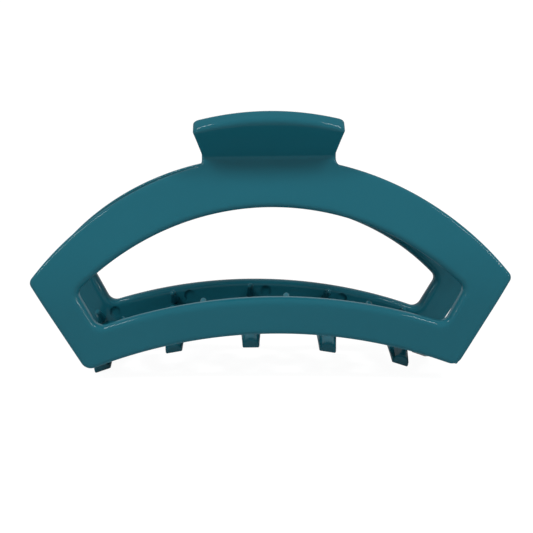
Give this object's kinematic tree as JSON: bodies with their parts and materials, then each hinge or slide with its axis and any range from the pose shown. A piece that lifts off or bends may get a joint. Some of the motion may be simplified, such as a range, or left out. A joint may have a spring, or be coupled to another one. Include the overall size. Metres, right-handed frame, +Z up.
{
  "type": "hair claw clip",
  "caption": "Large open-frame claw clip in teal moulded plastic: curved toothed jaws on a sprung hinge, held shut by a steel torsion spring and opened with the thumb tabs.",
  "frame": {"origin": "centre of the clip's footprint on the floor it stands on, below the middle of the hinge", "axes": "+Z up, from the teeth to the thumb tabs; X along the hinge and across the clip's width; the front jaw lies towards -Y"},
  "size_m": [0.1126, 0.042, 0.0626],
  "materials": {
    "jaw_plastic": "high gloss, as moulded",
    "steel": "drawn wire, bright"
  },
  "bodies": {
    "front": {"front_jaw": "jaw_plastic", "hinge_pin": "steel", "torsion_spring": "steel"},
    "rear": {"rear_jaw": "jaw_plastic"}
  },
  "joints": [
    {"name": "jaw_hinge", "type": "hinge", "parent": "front", "child": "rear", "pos_m": [0, 0, 0.04711], "axis": [1, 0, 0], "range_deg": [0, 59], "stiffness_Nm_per_rad": 0.07, "springref_deg": -63.03, "deforming": ["torsion_spring"]}
  ]
}
